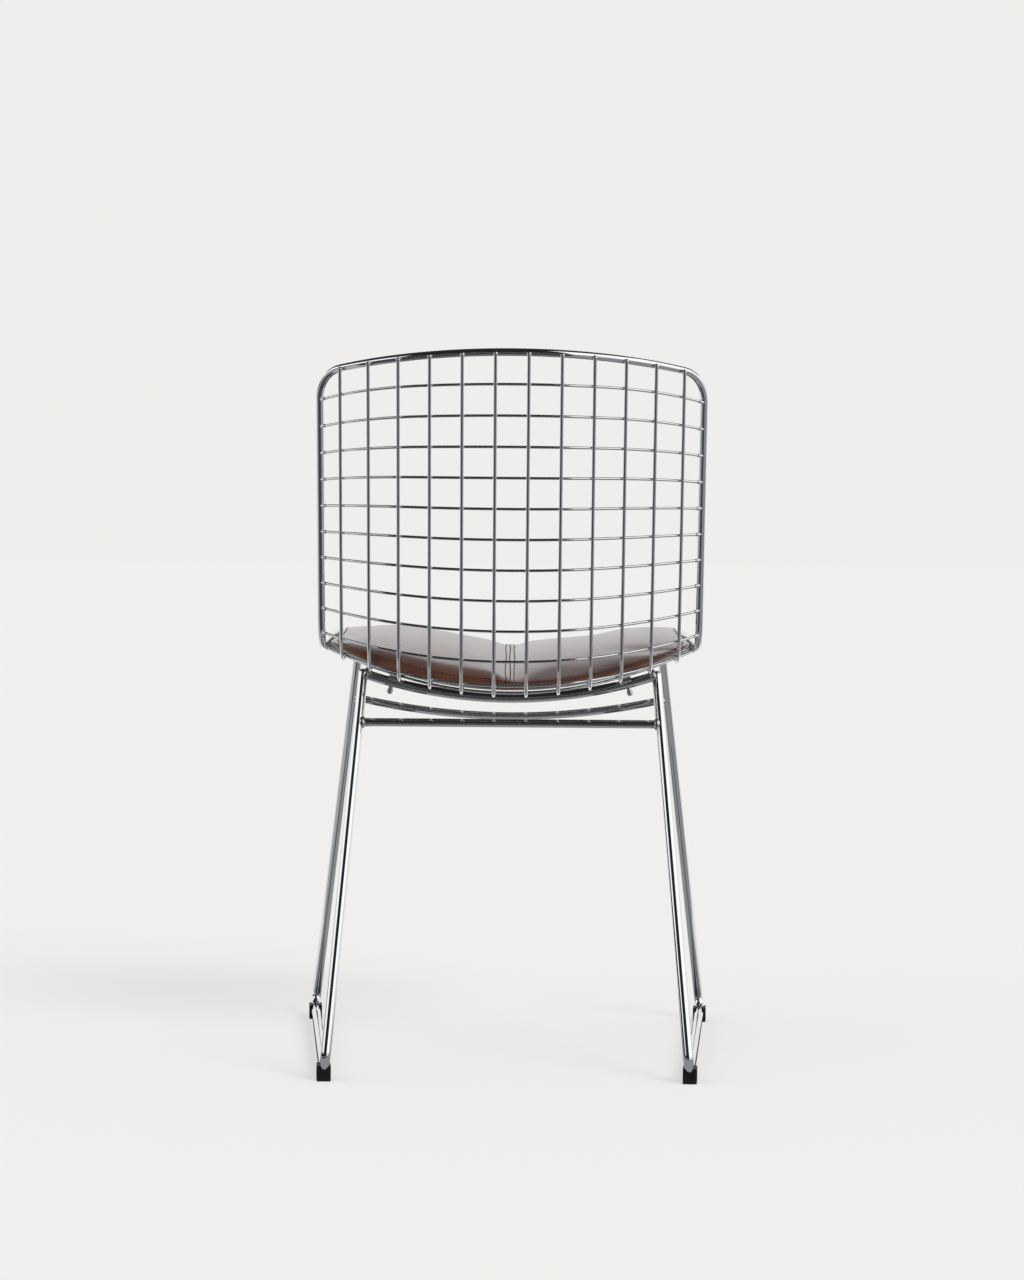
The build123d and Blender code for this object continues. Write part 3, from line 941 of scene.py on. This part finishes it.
def glowPatch(name, tone, spotAt):
    # a grid of glowing points that only reflections see
    material = bpy.data.materials.new(name)
    material.use_nodes = True
    tree = material.node_tree
    tree.nodes.clear()
    glow = tree.nodes.new("ShaderNodeEmission")
    glow.inputs["Color"].default_value = (*tone, 1)
    out = tree.nodes.new("ShaderNodeOutputMaterial")
    tree.links.new(glow.outputs["Emission"], out.inputs["Surface"])
    steps = panels["steps"]
    vertices, faces = [], []
    for row in range(steps + 1):
        for column in range(steps + 1):
            vertices.append(spotAt(column / steps, row / steps))
    for row in range(steps):
        for column in range(steps):
            low = row * (steps + 1) + column
            faces.append((low, low + 1, low + steps + 2, low + steps + 1))
    patch = meshObject(name, vertices, faces, material)
    patch.visible_camera = False
    patch.visible_diffuse = False
    patch.visible_shadow = False
    patch.visible_transmission = False
    patch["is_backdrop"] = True


def levelWay(azimuths, share):
    turn = math.radians(between(azimuths[0], azimuths[1], share))
    return Vector((-math.sin(turn), math.cos(turn), 0))


def studioPanel(name, azimuths, heights, tone):
    def spotAt(across, upward):
        high = math.radians(between(heights[0], heights[1], upward))
        spot = levelWay(azimuths, across) * math.cos(high) + Vector((0, 0, math.sin(high)))
        return spot * panels["radius"] + Vector((0, 0, panels["middleHeight"]))

    glowPatch(name, tone, spotAt)


def floorPanel(name, azimuths, reach, tone):
    def spotAt(across, outward):
        spot = levelWay(azimuths, across) * between(*reach, outward)
        return spot + Vector((0, 0, panels["floorLift"]))

    glowPatch(name, tone, spotAt)


def sledShade(name, side):
    # a dark strip under one sled, for the dark line down each front leg
    def spotAt(across, outward):
        x = side * between(*panels["shadeX"], across)
        return Vector((x, between(*panels["shadeY"], outward), panels["shadeLift"]))

    glowPatch(name, panels["shadeTone"], spotAt)


for name, (azimuths, heights, tone) in panels["around"].items():
    studioPanel(name, azimuths, heights, tone)
for name, (azimuths, reach, tone) in panels["floor"].items():
    floorPanel(name, azimuths, reach, tone)
sledShade("sled_shade_left", 1)
sledShade("sled_shade_right", -1)


def sunLamp(name, fromPoint, strength, spread):
    lamp = bpy.data.lights.new(name, "SUN")
    lamp.energy = strength
    lamp.angle = spread
    made = bpy.data.objects.new(name, lamp)
    made.rotation_mode = "QUATERNION"
    made.rotation_quaternion = (-fromPoint).to_track_quat("-Z", "Y")
    made.visible_glossy = False
    bpy.context.scene.collection.objects.link(made)


sunLamp("key_light", studio["keyFrom"], studio["key"], studio["keySpread"])
sunLamp("fill_light", studio["fillFrom"], studio["fill"], studio["fillSpread"])

# Camera, square behind the chair and a little above the seat
view = {
    "place": Vector((-0.002, 4.1765, 0.604)),
    "tiltDown": math.radians(1.743),
    "roll": math.radians(0.45),
    "lens": 101.64,
    "sensor": 36.0,
    "farthest": 200.0,
}
cameraData = bpy.data.cameras.new("camera")
cameraData.lens = view["lens"]
cameraData.sensor_width = view["sensor"]
cameraData.clip_end = view["farthest"]
camera = bpy.data.objects.new("camera", cameraData)
bpy.context.scene.collection.objects.link(camera)
look = Vector((0, -math.cos(view["tiltDown"]), -math.sin(view["tiltDown"])))
up = Vector((0, -math.sin(view["tiltDown"]), math.cos(view["tiltDown"])))
up = Matrix.Rotation(-view["roll"], 3, look) @ up
right = look.cross(up)
turned = Matrix((right, up, -look)).transposed().to_4x4()
camera.matrix_world = Matrix.Translation(view["place"]) @ turned
bpy.context.scene.camera = camera
bpy.context.scene.view_settings.view_transform = "Standard"
print("studio and camera set")

visualLow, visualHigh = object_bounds()
sizes = {"cad": [list(cadLow), list(cadHigh)], "visual": [list(visualLow), list(visualHigh)]}
